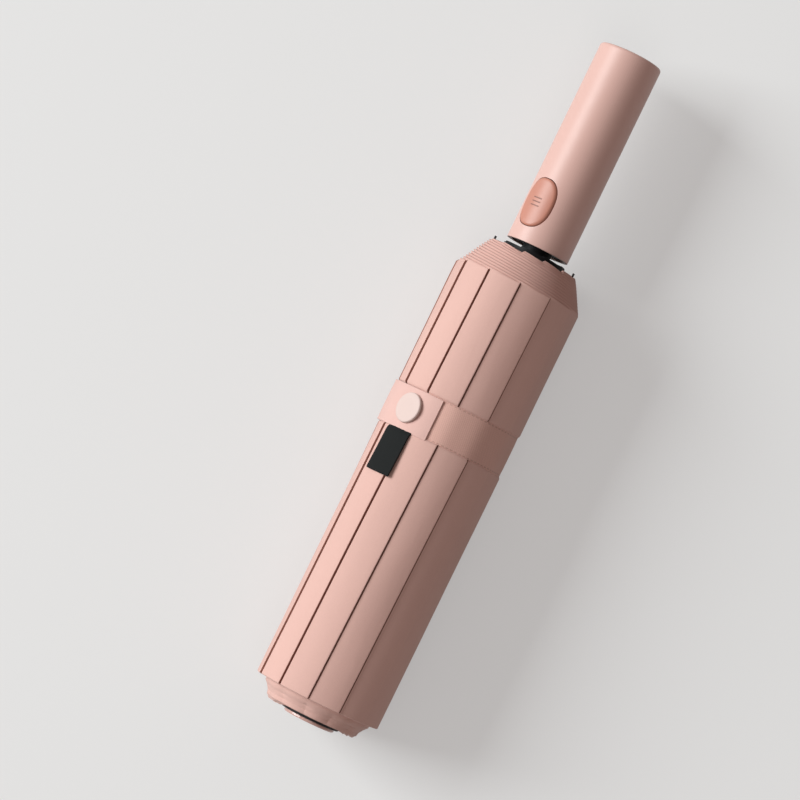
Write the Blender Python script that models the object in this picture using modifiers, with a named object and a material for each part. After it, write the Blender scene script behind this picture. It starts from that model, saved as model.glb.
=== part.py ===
# Folded automatic umbrella: a three-fold frame on a telescoping shaft, its cloth wound into a bundle.
# Metres, +Z up. The shaft lies along Y with the handle at +Y, and the bundle rests on Z = 0.
# Distances are measured along the shaft from the crown end. Clock angles turn about the shaft,
# from 0 at the top towards +X.
import math

import bmesh
import bpy
from mathutils import Matrix, Vector

# Fits
running_gap = 0.0003
cut_overrun = 0.002
merge_distance = 0.00001
sharp_angle = math.radians(32)

# Wound canopy
rib_count = 12
bundle_length = 0.2155
canopy_radius = 0.0275
canopy_bore_radius = 0.0167
floor_flat_depth = 0.0012
hem_distance = 0.0097
mouth_radius = 0.0189
mouth_taper_length = 0.0140
mouth_step_count = 6
pleat_step = 0.0010
seam_twist = math.radians(8)
end_plate_thickness = 0.0031

# Strap band, and the tab that closes it with a snap
strap_centre = 0.1357
strap_width = 0.018
strap_thickness = 0.0011
strap_waist_depth = 0.0023
waist_ease = 0.0003
tab_thickness = 0.0010
tab_end_angle = math.radians(-15.2)
tab_hinge_angle = math.radians(-100)
snap_angle = math.radians(-40.5)
snap_radius = 0.0065
snap_height = 0.0018
snap_sink = 0.0001

# Handle, collar and push button
collar_sink = 0.0007
collar_length = 0.0042
collar_spigot_length = 0.006
collar_spigot_inset = 0.0007
collar_hub_radius = 0.0065
collar_bar_count = 8
collar_bar_start = math.radians(-72)
collar_bar_low = 0.0018
collar_bar_high = 0.0023
collar_seat = 0.0005
handle_length = 0.0908
handle_radius = 0.014
handle_wall = 0.002
handle_end_wall = 0.004
handle_edge_radius = 0.0012
button_setback = 0.0173
button_length = 0.0215
button_width = 0.0147
button_rise = 0.0006
button_depth = 0.0048
button_angle = math.radians(-39)

# Telescoping shaft
outer_tube_radius = 0.0055
outer_tube_wall = 0.0008
middle_tube_wall = 0.0006
inner_tube_wall = 0.0007
tube_end_gap = 0.006
tube_step_back = 0.002

# Top cap and crown notch
cap_radius = 0.0114
cap_thickness = 0.0012
cap_edge = 0.0004
cap_neck_radius = 0.0099
cap_neck_length = 0.0019
cap_spigot_length = 0.007
crown_pivot_distance = 0.014
crown_hub_radius = 0.0082
crown_flange_radius = 0.0112
crown_flange_thickness = 0.004
crown_top_length = 0.004
slot_floor_depth = 0.0002

# Runner
runner_wall = 0.0014
runner_flange_radius = 0.0112
runner_flange_thickness = 0.003
runner_sleeve_front = 0.010
runner_sleeve_back = 0.008
runner_setback = 0.0108

# Ribs and struts
pivot_radius = 0.0095
bar_height = 0.0016
narrow_half_width = 0.0010
wide_half_width = 0.0014
ear_thickness = 0.0006
ear_reach = 0.0013
ear_length = 0.007
eye_radius = 0.0010
eye_inset = 0.0001
fork_setback = 0.003
top_end_setback = 0.0365
outer_pivot_setback = 0.012
tip_tuck = 0.0009
tip_length = 0.0021
tip_outer_radius = 0.0160
tip_half_width = 0.0016
side_tip_rise = 0.0016
side_tip_radius = 0.0187
side_tip_half_width = 0.0007
side_tip_thickness = 0.0010
side_tip_sink = 0.0005
side_tip_ribs = (3, 9)

# Sides of the round pieces
handle_steps = 96
rounder_steps = 96
corner_steps = 4
collar_bar_points = 11
tube_steps = 20
turned_steps = 36
pin_sides = 8
snap_sides = 28
strap_points = 72
tab_points = 18
button_sides = 40

# One pleat, as shares of its angle and of its step: the edge on top, then the next panel rising to it
pleat_shares = ((0.0, 0.0), (0.04, 1.0), (0.35, 1.1), (0.68, 0.77))

# The folded end of the canopy from the cap to the hem, as shares of the way out and of the way along
crown_fold_shares = ((0.0, 0.0), (0.31, 0.0), (0.58, 0.09), (0.62, 0.35), (0.68, 0.57), (0.79, 0.79),
                     (0.81, 1.0))

# The part of each collar bar's angle that the step up to the next one takes
collar_step_share = 0.03

# How far each step of the mouth falls on its tread, as a share of the whole step
tread_share = 0.3

# How much squarer than an ellipse the button's oval is, from 1 for an ellipse towards 0
button_oval_power = 0.8

# Places that follow from the sizes above
axis_height = canopy_radius - floor_flat_depth
collar_start = bundle_length - collar_sink
handle_start = collar_start + collar_length + running_gap
folded_length = handle_start + handle_length
handle_bore = handle_radius - handle_wall
button_top = handle_radius + button_rise
button_low = button_top - button_depth
middle_tube_radius = outer_tube_radius - outer_tube_wall - running_gap
inner_tube_radius = middle_tube_radius - middle_tube_wall - running_gap
inner_tube_bore = inner_tube_radius - inner_tube_wall
tube_hole_radius = inner_tube_radius + running_gap
sleeve_bore = outer_tube_radius + running_gap
sleeve_radius = sleeve_bore + runner_wall
end_plate_start = cap_thickness + cap_neck_length + running_gap
end_plate_end = end_plate_start + end_plate_thickness
crown_start = end_plate_end + running_gap
crown_end = crown_pivot_distance + crown_top_length
waist_radius = canopy_radius - strap_waist_depth
strap_inner_radius = waist_radius + running_gap
strap_outer_radius = strap_inner_radius + strap_thickness
tab_inner_radius = strap_outer_radius + running_gap
tab_outer_radius = tab_inner_radius + tab_thickness
tab_hinge_radius = tab_inner_radius + tab_thickness / 2
pleat_angle = 2 * math.pi / rib_count
ear_inner = narrow_half_width + running_gap
top_bar_low = pivot_radius + bar_height / 2 + running_gap
middle_pivot_radius = top_bar_low + bar_height + running_gap / 2
outer_pivot_radius = middle_pivot_radius + bar_height + running_gap
bar_offset = running_gap / 2
top_end_distance = bundle_length - top_end_setback
top_rib_length = top_end_distance - crown_pivot_distance
outer_pivot_distance = crown_pivot_distance + outer_pivot_setback
middle_rib_length = top_end_distance - outer_pivot_distance
outer_rib_length = bundle_length - tip_tuck - tip_length - outer_pivot_distance
runner_distance = collar_start - runner_setback
strut_length = (runner_distance - crown_pivot_distance) / 2
strut_pivot_distance = crown_pivot_distance + strut_length

parts = None
cutters = None


def clear_scene():
    for obj in list(bpy.data.objects):
        bpy.data.objects.remove(obj, do_unlink=True)


def new_collection(name):
    collection = bpy.data.collections.new(name)
    bpy.context.scene.collection.children.link(collection)
    return collection


def along(distance):
    # World Y of a distance from the crown end
    return distance - folded_length / 2


def around(angle, radius, distance):
    # World point at a clock angle and radius about the shaft
    return Vector((radius * math.sin(angle), along(distance), axis_height + radius * math.cos(angle)))


def material(name, colour, roughness, metallic=0.0):
    made = bpy.data.materials.new(name)
    made.use_nodes = True
    shader = made.node_tree.nodes["Principled BSDF"]
    shader.inputs["Base Color"].default_value = (*colour, 1.0)
    shader.inputs["Roughness"].default_value = roughness
    shader.inputs["Metallic"].default_value = metallic
    made.diffuse_color = (*colour, 1.0)
    return made


def link(obj, collection):
    collection.objects.link(obj)
    return obj


def as_cutter(obj):
    obj.hide_render = True
    obj.display_type = "WIRE"
    return link(obj, cutters)


def settle(obj):
    # Keep the evaluated mesh, smooth over its round faces and sharp at its corners
    bpy.context.view_layer.update()
    evaluated = obj.evaluated_get(bpy.context.evaluated_depsgraph_get())
    mesh = bpy.data.meshes.new_from_object(evaluated)
    mesh.name = obj.name
    obj.modifiers.clear()
    obj.data = mesh
    mesh.shade_smooth()
    mesh.set_sharp_from_angle(angle=sharp_angle)
    return obj


def combine(obj, other, operation):
    joint = obj.modifiers.new(operation.lower(), "BOOLEAN")
    joint.operation = operation
    joint.object = other


def finish(obj, made):
    obj.data.materials.clear()
    obj.data.materials.append(made)
    return obj


def mesh_from(shape, name):
    mesh = bpy.data.meshes.new(name)
    bmesh.ops.recalc_face_normals(shape, faces=shape.faces)
    shape.to_mesh(mesh)
    shape.free()
    return mesh


def add_box(shape, low, high):
    size = [top - bottom for bottom, top in zip(low, high)]
    centre = [(top + bottom) / 2 for bottom, top in zip(low, high)]
    matrix = Matrix.Translation(centre) @ Matrix.Diagonal((*size, 1.0))
    bmesh.ops.create_cube(shape, size=1.0, matrix=matrix)


def box(name, low, high):
    shape = bmesh.new()
    add_box(shape, low, high)
    return bpy.data.objects.new(name, mesh_from(shape, name))


def pin(name, radius, half_width, centre):
    # A round eye across a rib, along X, a little narrower than the rib
    shape = bmesh.new()
    matrix = Matrix.Translation(centre) @ Matrix.Rotation(math.pi / 2, 4, "Y")
    bmesh.ops.create_cone(shape, cap_ends=True, segments=pin_sides, radius1=radius, radius2=radius,
                          depth=2 * (half_width - eye_inset), matrix=matrix)
    return bpy.data.objects.new(name, mesh_from(shape, name))


def turned(name, profile, steps, closed=False):
    # A profile of (radius, distance) turned about the shaft
    mesh = bpy.data.meshes.new(name)
    points = [(radius, 0.0, distance) for radius, distance in profile]
    edges = [(index, index + 1) for index in range(len(points) - 1)]
    if closed:
        edges.append((len(points) - 1, 0))
    mesh.from_pydata(points, edges, [])
    obj = link(bpy.data.objects.new(name, mesh), parts)
    obj.location = (0, along(0), axis_height)
    obj.rotation_euler = (-math.pi / 2, 0, 0)
    turn = obj.modifiers.new("turn", "SCREW")
    turn.steps = steps
    turn.render_steps = steps
    turn.use_merge_vertices = True
    turn.merge_threshold = merge_distance
    return obj


def tube(name, radius, wall, start, end, steps):
    inner = radius - wall
    return turned(name, [(radius, end), (radius, start), (inner, start), (inner, end)], steps, closed=True)


def slot_cutter(name, ribs, half_width, inner, outer, start, end):
    # Radial slots around the shaft at some of the ribs, as one cutter of separate boxes
    shape = bmesh.new()
    for index in ribs:
        piece = bmesh.new()
        add_box(piece, (-half_width, along(start), inner), (half_width, along(end), outer))
        turn = Matrix.Rotation(index * pleat_angle, 4, "Y")
        piece.transform(Matrix.Translation((0, 0, axis_height)) @ turn)
        mesh = mesh_from(piece, name)
        shape.from_mesh(mesh)
        bpy.data.meshes.remove(mesh)
    return as_cutter(bpy.data.objects.new(name, mesh_from(shape, name)))


def outline(name, loops, width, distance):
    # Flat loops of (angle, radius) about the shaft, given a width along it
    curve = bpy.data.curves.new(name, "CURVE")
    curve.dimensions = "2D"
    curve.fill_mode = "BOTH"
    curve.extrude = width / 2
    for loop in loops:
        spline = curve.splines.new("POLY")
        spline.points.add(len(loop) - 1)
        spline.use_cyclic_u = True
        for point, (angle, radius) in zip(spline.points, loop):
            point.co = (radius * math.sin(angle), -radius * math.cos(angle), 0, 1)
    flat = link(bpy.data.objects.new(name + "_outline", curve), cutters)
    flat.rotation_euler = (-math.pi / 2, 0, 0)
    flat.location = (0, along(distance), axis_height)
    bpy.context.view_layer.update()
    mesh = bpy.data.meshes.new_from_object(flat.evaluated_get(bpy.context.evaluated_depsgraph_get()))
    shape = bmesh.new()
    shape.from_mesh(mesh)
    bmesh.ops.remove_doubles(shape, verts=shape.verts, dist=merge_distance)
    shape.transform(flat.matrix_world)
    made = link(bpy.data.objects.new(name, mesh_from(shape, name)), parts)
    bpy.data.meshes.remove(mesh)
    bpy.data.objects.remove(flat)
    return made


def move_origin(obj, point):
    obj.data.transform(Matrix.Translation(-point))
    obj.location = point


def carry(obj, parent):
    # Parent without moving
    bpy.context.view_layer.update()
    obj.parent = parent
    obj.matrix_parent_inverse = parent.matrix_world.inverted()


# Canopy

def canopy_ring(distance, radius, step, twist):
    points = []
    for pleat in range(rib_count):
        for angle_share, drop_share in pleat_shares:
            angle = twist + (pleat + angle_share) * pleat_angle
            points.append(around(angle, radius - step * drop_share, distance))
    return points


def canopy_rings():
    # Outer skin from the crown end to the mouth, then the bore back, as (distance, radius, step)
    waist_start = strap_centre - strap_width / 2 - running_gap
    waist_end = strap_centre + strap_width / 2 + running_gap
    recess_radius = cap_neck_radius + running_gap
    fold_start = cap_thickness + running_gap
    half_step = pleat_step / 2
    outer = [
        (end_plate_start, tube_hole_radius, 0.0),
        (end_plate_start, recess_radius, 0.0),
    ]
    for out_share, along_share in crown_fold_shares:
        outer.append((fold_start + (hem_distance - fold_start) * along_share,
                      recess_radius + (canopy_radius - recess_radius) * out_share, 0.0))
    outer += [
        (hem_distance, canopy_radius, pleat_step),
        (waist_start - waist_ease, canopy_radius, pleat_step),
        (waist_start, waist_radius, half_step),
        (waist_end, waist_radius, half_step),
        (waist_end + waist_ease, canopy_radius, pleat_step),
        (bundle_length - mouth_taper_length, canopy_radius, pleat_step),
    ]
    outer += mouth_steps()
    bore = [
        (bundle_length, canopy_bore_radius, 0.0),
        (waist_end, canopy_bore_radius, 0.0),
        (waist_start, canopy_bore_radius, 0.0),
        (end_plate_end, canopy_bore_radius, 0.0),
        (end_plate_end, tube_hole_radius, 0.0),
    ]
    return outer + bore


def mouth_steps():
    # Treads and risers of the layered hems that draw in to the mouth
    rings = []
    drop = (canopy_radius - mouth_radius) / mouth_step_count
    for index in range(mouth_step_count):
        distance = bundle_length - mouth_taper_length * (1 - (index + 1) / mouth_step_count)
        relief = pleat_step * (1 - (index + 1) / (mouth_step_count + 1))
        rings.append((distance, canopy_radius - drop * (index + tread_share), relief))
        rings.append((distance, canopy_radius - drop * (index + 1), relief))
    return rings


def make_canopy(made):
    shape = bmesh.new()
    rings = []
    for distance, radius, step in canopy_rings():
        twist = -seam_twist * (1 - distance / bundle_length)
        rings.append([shape.verts.new(point) for point in canopy_ring(distance, radius, step, twist)])
    for ring, following in zip(rings, rings[1:] + rings[:1]):
        for index, corner in enumerate(ring):
            after = (index + 1) % len(ring)
            shape.faces.new((corner, ring[after], following[after], following[index]))
    bmesh.ops.triangulate(shape, faces=shape.faces)
    canopy = link(bpy.data.objects.new("canopy", mesh_from(shape, "canopy")), parts)
    below = canopy_radius + cut_overrun
    floor = as_cutter(box("floor_cutter", (-below, along(-cut_overrun), -below),
                          (below, along(folded_length), 0)))
    combine(canopy, floor, "DIFFERENCE")
    slots = slot_cutter("side_tip_slots", side_tip_ribs, side_tip_half_width + running_gap,
                        canopy_bore_radius - cut_overrun, side_tip_radius + running_gap,
                        bundle_length - side_tip_sink - side_tip_thickness - running_gap,
                        bundle_length + cut_overrun)
    combine(canopy, slots, "DIFFERENCE")
    return finish(settle(canopy), made)


def make_strap_band(made):
    outer = []
    inner = []
    for index in range(strap_points):
        angle = 2 * math.pi * index / strap_points
        fall = -math.cos(angle)
        radius = strap_outer_radius
        if fall * strap_outer_radius > axis_height:
            radius = axis_height / fall
        outer.append((angle, radius))
        inner.append((angle, strap_inner_radius))
    band = outline("strap_band", [outer, inner], strap_width, strap_centre)
    return finish(settle(band), made)


def make_strap_tab(made):
    spread = [tab_hinge_angle + (tab_end_angle - tab_hinge_angle) * index / tab_points
              for index in range(tab_points + 1)]
    loop = [(angle, tab_outer_radius) for angle in spread]
    loop += [(angle, tab_inner_radius) for angle in reversed(spread)]
    tab = outline("strap_tab", [loop], strap_width, strap_centre)
    snap_low = tab_inner_radius + snap_sink
    snap_high = tab_outer_radius + snap_height
    shape = bmesh.new()
    bmesh.ops.create_cone(shape, cap_ends=True, segments=snap_sides, radius1=snap_radius,
                          radius2=snap_radius, depth=snap_high - snap_low)
    middle = around(snap_angle, (snap_high + snap_low) / 2, strap_centre)
    shape.transform(Matrix.Translation(middle) @ Matrix.Rotation(snap_angle, 4, "Y"))
    snap = as_cutter(bpy.data.objects.new("snap_cap", mesh_from(shape, "snap_cap")))
    combine(tab, snap, "UNION")
    settle(tab)
    bpy.data.objects.remove(snap)
    move_origin(tab, around(tab_hinge_angle, tab_hinge_radius, strap_centre))
    return finish(tab, made)


# Handle

def button_oval(name, clearance, low, high, made_link):
    # An oval prism, a little squarer than an ellipse, that stands at the button's clock angle
    shape = bmesh.new()
    bmesh.ops.create_cone(shape, cap_ends=True, segments=button_sides, radius1=1.0, radius2=1.0, depth=1.0)
    for corner in shape.verts:
        corner.co.x = math.copysign(abs(corner.co.x) ** button_oval_power, corner.co.x)
        corner.co.y = math.copysign(abs(corner.co.y) ** button_oval_power, corner.co.y)
    size = Matrix.Diagonal((button_width / 2 + clearance, button_length / 2 + clearance, high - low, 1.0))
    middle = around(button_angle, (high + low) / 2, handle_start + button_setback)
    shape.transform(Matrix.Translation(middle) @ Matrix.Rotation(button_angle, 4, "Y") @ size)
    return made_link(bpy.data.objects.new(name, mesh_from(shape, name)))


def make_handle_shell(made):
    end = folded_length
    profile = [(0.0, end)]
    for index in range(corner_steps + 1):
        turn = math.pi / 2 * index / corner_steps
        profile.append((handle_radius - handle_edge_radius * (1 - math.sin(turn)),
                        end - handle_edge_radius * (1 - math.cos(turn))))
    profile += [
        (handle_radius, handle_start),
        (handle_bore, handle_start),
        (handle_bore, end - handle_end_wall),
        (0.0, end - handle_end_wall),
    ]
    handle = turned("handle_shell", profile, handle_steps)
    window = button_oval("button_window", running_gap, button_low - cut_overrun,
                         handle_radius + cut_overrun, as_cutter)
    combine(handle, window, "DIFFERENCE")
    return finish(settle(handle), made)


def collar_bars():
    # A rim of bars round the shaft, each slanting down to a step up to the next
    shape = bmesh.new()
    bar_angle = 2 * math.pi / collar_bar_count
    step_share = collar_step_share
    bottom = collar_start
    loops = []
    for index in range(collar_bar_count):
        for point in range(collar_bar_points + 1):
            share = point / collar_bar_points
            angle = collar_bar_start + bar_angle * (index + share * (1 - step_share))
            top = bottom + collar_bar_high - (collar_bar_high - collar_bar_low) * share
            inner = collar_hub_radius - collar_seat
            loop = [(inner, bottom), (handle_radius, bottom), (handle_radius, top), (inner, top)]
            loops.append([shape.verts.new(around(angle, radius, distance)) for radius, distance in loop])
    for loop, following in zip(loops, loops[1:] + loops[:1]):
        for index, corner in enumerate(loop):
            after = (index + 1) % len(loop)
            shape.faces.new((corner, loop[after], following[after], following[index]))
    bmesh.ops.triangulate(shape, faces=shape.faces)
    return as_cutter(bpy.data.objects.new("collar_bars", mesh_from(shape, "collar_bars")))


def make_tip_collar(made):
    # The spigot plugs the handle, and the rim of bars stands clear of the handle's end on a slim hub
    spigot = handle_bore - running_gap
    spigot_start = handle_start + collar_spigot_inset
    spigot_end = handle_start + collar_spigot_length
    profile = [
        (spigot, spigot_end),
        (spigot, spigot_start),
        (collar_hub_radius, spigot_start),
        (collar_hub_radius, collar_start + collar_seat),
        (sleeve_bore, collar_start + collar_seat),
        (sleeve_bore, spigot_end),
    ]
    collar = turned("tip_collar", profile, handle_steps, closed=True)
    combine(collar, collar_bars(), "UNION")
    return finish(settle(collar), made)


def make_push_button(made):
    button = button_oval("push_button", 0.0, button_low, button_top + cut_overrun,
                         lambda obj: link(obj, parts))
    rounder = as_cutter(bpy.data.objects.new("button_rounder", bpy.data.meshes.new("button_rounder")))
    shape = bmesh.new()
    bmesh.ops.create_cone(shape, cap_ends=True, segments=rounder_steps, radius1=button_top,
                          radius2=button_top, depth=2 * button_length)
    shape.transform(Matrix.Translation(around(0, 0, handle_start + button_setback))
                    @ Matrix.Rotation(math.pi / 2, 4, "X"))
    shape.to_mesh(rounder.data)
    shape.free()
    combine(button, rounder, "INTERSECT")
    settle(button)
    move_origin(button, around(button_angle, button_low, handle_start + button_setback))
    return finish(button, made)


# Shaft

def make_tubes(steel):
    outer_start = crown_end + tube_step_back
    outer_end = folded_length - handle_end_wall - tube_end_gap
    outer = tube("outer_tube", outer_tube_radius, outer_tube_wall, outer_start, outer_end, tube_steps)
    middle = tube("middle_tube", middle_tube_radius, middle_tube_wall, crown_end + running_gap,
                  outer_end - tube_step_back, tube_steps)
    inner = tube("inner_tube", inner_tube_radius, inner_tube_wall, end_plate_start,
                 outer_end - 2 * tube_step_back, tube_steps)
    return [finish(settle(piece), made) for piece, made in zip((outer, middle, inner), steel)]


def make_top_cap(made):
    # A disc over the gathered cloth, on a neck and a spigot that plugs the inner tube
    far = cap_thickness + cap_neck_length
    spigot = inner_tube_bore - running_gap
    profile = [
        (0.0, far + cap_spigot_length),
        (spigot, far + cap_spigot_length),
        (spigot, far),
        (cap_neck_radius, far),
        (cap_neck_radius, cap_thickness),
        (cap_radius, cap_thickness),
        (cap_radius, cap_edge),
        (cap_radius - cap_edge, 0.0),
        (0.0, 0.0),
    ]
    return finish(settle(turned("top_cap", profile, turned_steps)), made)


def make_crown(made):
    flange_start = crown_pivot_distance - crown_flange_thickness / 2
    flange_end = crown_pivot_distance + crown_flange_thickness / 2
    profile = [
        (crown_hub_radius, crown_end),
        (crown_hub_radius, flange_end),
        (crown_flange_radius, flange_end),
        (crown_flange_radius, flange_start),
        (crown_hub_radius, flange_start),
        (crown_hub_radius, crown_start),
        (tube_hole_radius, crown_start),
        (tube_hole_radius, crown_end),
    ]
    crown = turned("crown_notch", profile, turned_steps, closed=True)
    slots = slot_cutter("crown_slots", range(rib_count), wide_half_width + running_gap,
                        crown_hub_radius - slot_floor_depth, crown_flange_radius + cut_overrun,
                        flange_start - running_gap, flange_end + running_gap)
    combine(crown, slots, "DIFFERENCE")
    return finish(settle(crown), made)


def make_runner(made):
    flange_start = runner_distance - runner_flange_thickness / 2
    flange_end = runner_distance + runner_flange_thickness / 2
    profile = [
        (sleeve_radius, runner_distance + runner_sleeve_back),
        (sleeve_radius, flange_end),
        (runner_flange_radius, flange_end),
        (runner_flange_radius, flange_start),
        (sleeve_radius, flange_start),
        (sleeve_radius, runner_distance - runner_sleeve_front),
        (sleeve_bore, runner_distance - runner_sleeve_front),
        (sleeve_bore, runner_distance + runner_sleeve_back),
    ]
    runner = turned("runner", profile, turned_steps, closed=True)
    slots = slot_cutter("runner_slots", range(rib_count), ear_inner, sleeve_radius - slot_floor_depth,
                        runner_flange_radius + cut_overrun, flange_start - running_gap,
                        flange_end + running_gap)
    combine(runner, slots, "DIFFERENCE")
    return finish(settle(runner), made)


# Ribs and struts. Each is drawn about its own pivot: X across, Y towards the handle, Z away from the shaft.

def fused(name, solids, made):
    base = link(solids[0], parts)
    for other in solids[1:]:
        combine(base, as_cutter(other), "UNION")
    finish(settle(base), made)
    mesh = base.data
    mesh.name = name
    for solid in solids:
        bpy.data.objects.remove(solid)
    return mesh


def ear_pair(start, end, low, high):
    return [box("ear", (side - ear_thickness / 2, start, low), (side + ear_thickness / 2, end, high))
            for side in (ear_inner + ear_thickness / 2, -ear_inner - ear_thickness / 2)]


def top_rib_mesh(made):
    low = top_bar_low - pivot_radius
    high = low + bar_height
    fork_pivot = middle_pivot_radius - pivot_radius
    bar_end = top_rib_length - fork_setback
    bar = box("bar", (-wide_half_width, -eye_radius, low), (wide_half_width, bar_end, high))
    neck_half = wide_half_width - 2 * eye_inset
    neck = box("neck", (-neck_half, -eye_radius / 2, 0), (neck_half, eye_radius / 2, (low + high) / 2))
    eye = pin("eye", eye_radius, wide_half_width, (0, 0, 0))
    strut_ears = ear_pair(strut_length - 2 * ear_reach, strut_length + 2 * ear_reach,
                          -ear_reach, (low + high) / 2)
    fork_ears = ear_pair(top_rib_length - ear_length, top_rib_length + ear_reach,
                         low + running_gap, fork_pivot + ear_reach)
    return fused("top_rib", [bar, neck, eye] + strut_ears + fork_ears, made)


def strut_mesh(made):
    half_height = bar_height / 2
    bar = box("bar", (-narrow_half_width, 0, -half_height), (narrow_half_width, strut_length, half_height))
    eyes = [pin("eye", eye_radius, narrow_half_width, (0, reach, 0)) for reach in (0, strut_length)]
    return fused("strut", [bar] + eyes, made)


def middle_rib_mesh(made):
    # Folded back from the top rib's end towards the crown
    far = -middle_rib_length
    rise = outer_pivot_radius - middle_pivot_radius
    bar = box("bar", (-narrow_half_width, far, bar_offset), (narrow_half_width, 0, bar_offset + bar_height))
    eyes = [pin("eye", eye_radius, narrow_half_width, centre) for centre in ((0, 0, 0), (0, far, rise))]
    return fused("middle_rib", [bar] + eyes, made)


def outer_rib_mesh(made, side_tip):
    # The tips tuck inside the mouth, but for two at the sides that stand out of it
    low = bar_offset
    high = low + bar_height
    tip_low = low + running_gap / 2
    tip_high = tip_outer_radius - outer_pivot_radius
    tip_end = outer_rib_length + tip_length
    bar = box("bar", (-wide_half_width, fork_setback, low),
              (wide_half_width, outer_rib_length + tip_length / 2, high))
    ears = ear_pair(-ear_reach, ear_length, -ear_reach, high - running_gap)
    tip = box("tip", (-tip_half_width, outer_rib_length, tip_low), (tip_half_width, tip_end, tip_high))
    solids = [bar, tip] + ears
    if side_tip:
        mouth = tip_end + tip_tuck
        arm_end = mouth - side_tip_sink
        arm_start = arm_end - side_tip_thickness
        side_high = side_tip_radius - outer_pivot_radius
        nub_half_width = side_tip_half_width - eye_inset
        solids.append(box("stem", (-side_tip_half_width, outer_rib_length + tip_length / 2, low + running_gap),
                          (side_tip_half_width, arm_end, tip_high - running_gap / 2)))
        solids.append(box("arm", (-nub_half_width, arm_start, (low + tip_high) / 2),
                          (nub_half_width, arm_end - eye_inset, side_high)))
        solids.append(box("nub", (-side_tip_half_width, (arm_start + arm_end) / 2,
                                  side_high - side_tip_thickness),
                          (side_tip_half_width, mouth + side_tip_rise, side_high - eye_inset)))
    return fused("outer_rib", solids, made)


def place_ring(name, mesh, radius, distance, other=None, other_ribs=()):
    # One copy of a rib piece for each rib, with the other form on some of them
    ring = []
    for index in range(rib_count):
        angle = index * pleat_angle
        shown = other if index in other_ribs else mesh
        obj = link(bpy.data.objects.new(f"{name}_{index + 1:02d}", shown), parts)
        obj.location = around(angle, radius, distance)
        obj.rotation_euler = (0, angle, 0)
        ring.append(obj)
    return ring


def make_frame(rib_paint, strut_steel, crown, runner):
    plain_rib = outer_rib_mesh(rib_paint, False)
    side_rib = outer_rib_mesh(rib_paint, True)
    top = place_ring("top_rib", top_rib_mesh(rib_paint), pivot_radius, crown_pivot_distance)
    middle = place_ring("middle_rib", middle_rib_mesh(rib_paint), middle_pivot_radius, top_end_distance)
    outer = place_ring("outer_rib", plain_rib, outer_pivot_radius, outer_pivot_distance, side_rib, side_tip_ribs)
    struts = place_ring("strut", strut_mesh(strut_steel), pivot_radius, strut_pivot_distance)
    for index in range(rib_count):
        carry(top[index], crown)
        carry(struts[index], top[index])
        carry(middle[index], top[index])
        carry(outer[index], middle[index])


def main():
    global parts, cutters
    clear_scene()
    parts = new_collection("automatic_umbrella")
    cutters = new_collection("cutters")

    pink = material("handle_pink", (0.73, 0.445, 0.381), 0.42)
    coral = material("button_coral", (0.73, 0.305, 0.223), 0.45)
    black = material("collar_black", (0.018, 0.018, 0.020), 0.40)
    cloth = material("canopy_cloth", (0.66, 0.395, 0.34), 0.85)
    webbing = material("strap_webbing", (0.62, 0.36, 0.31), 0.85)
    tab_cloth = material("tab_cloth", (0.70, 0.43, 0.37), 0.80)
    rib_paint = material("rib_paint", (0.68, 0.42, 0.36), 0.35, 0.3)
    strut_steel = material("strut_steel", (0.10, 0.10, 0.11), 0.35, 0.8)
    tubes = [material(name, (0.62, 0.62, 0.64), 0.25, 1.0)
             for name in ("outer_tube_steel", "middle_tube_steel", "inner_tube_steel")]
    nylon = material("crown_nylon", (0.02, 0.02, 0.022), 0.45)
    runner_nylon = material("runner_nylon", (0.03, 0.03, 0.032), 0.45)
    cap_gloss = material("cap_gloss", (0.55, 0.29, 0.24), 0.35)

    canopy = make_canopy(cloth)
    band = make_strap_band(webbing)
    tab = make_strap_tab(tab_cloth)
    handle = make_handle_shell(pink)
    collar = make_tip_collar(black)
    button = make_push_button(coral)
    outer_tube, middle_tube, inner_tube = make_tubes(tubes)
    cap = make_top_cap(cap_gloss)
    crown = make_crown(nylon)
    runner = make_runner(runner_nylon)
    make_frame(rib_paint, strut_steel, crown, runner)

    for piece in (cap, crown, canopy, band, middle_tube, runner):
        carry(piece, inner_tube)
    carry(tab, band)
    carry(outer_tube, middle_tube)
    for piece in (handle, collar):
        carry(piece, outer_tube)
    carry(button, handle)
    for obj in list(cutters.objects):
        bpy.data.objects.remove(obj)


main()
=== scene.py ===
import math

import bmesh
import bpy
from mathutils import Matrix, Vector, noise


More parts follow.
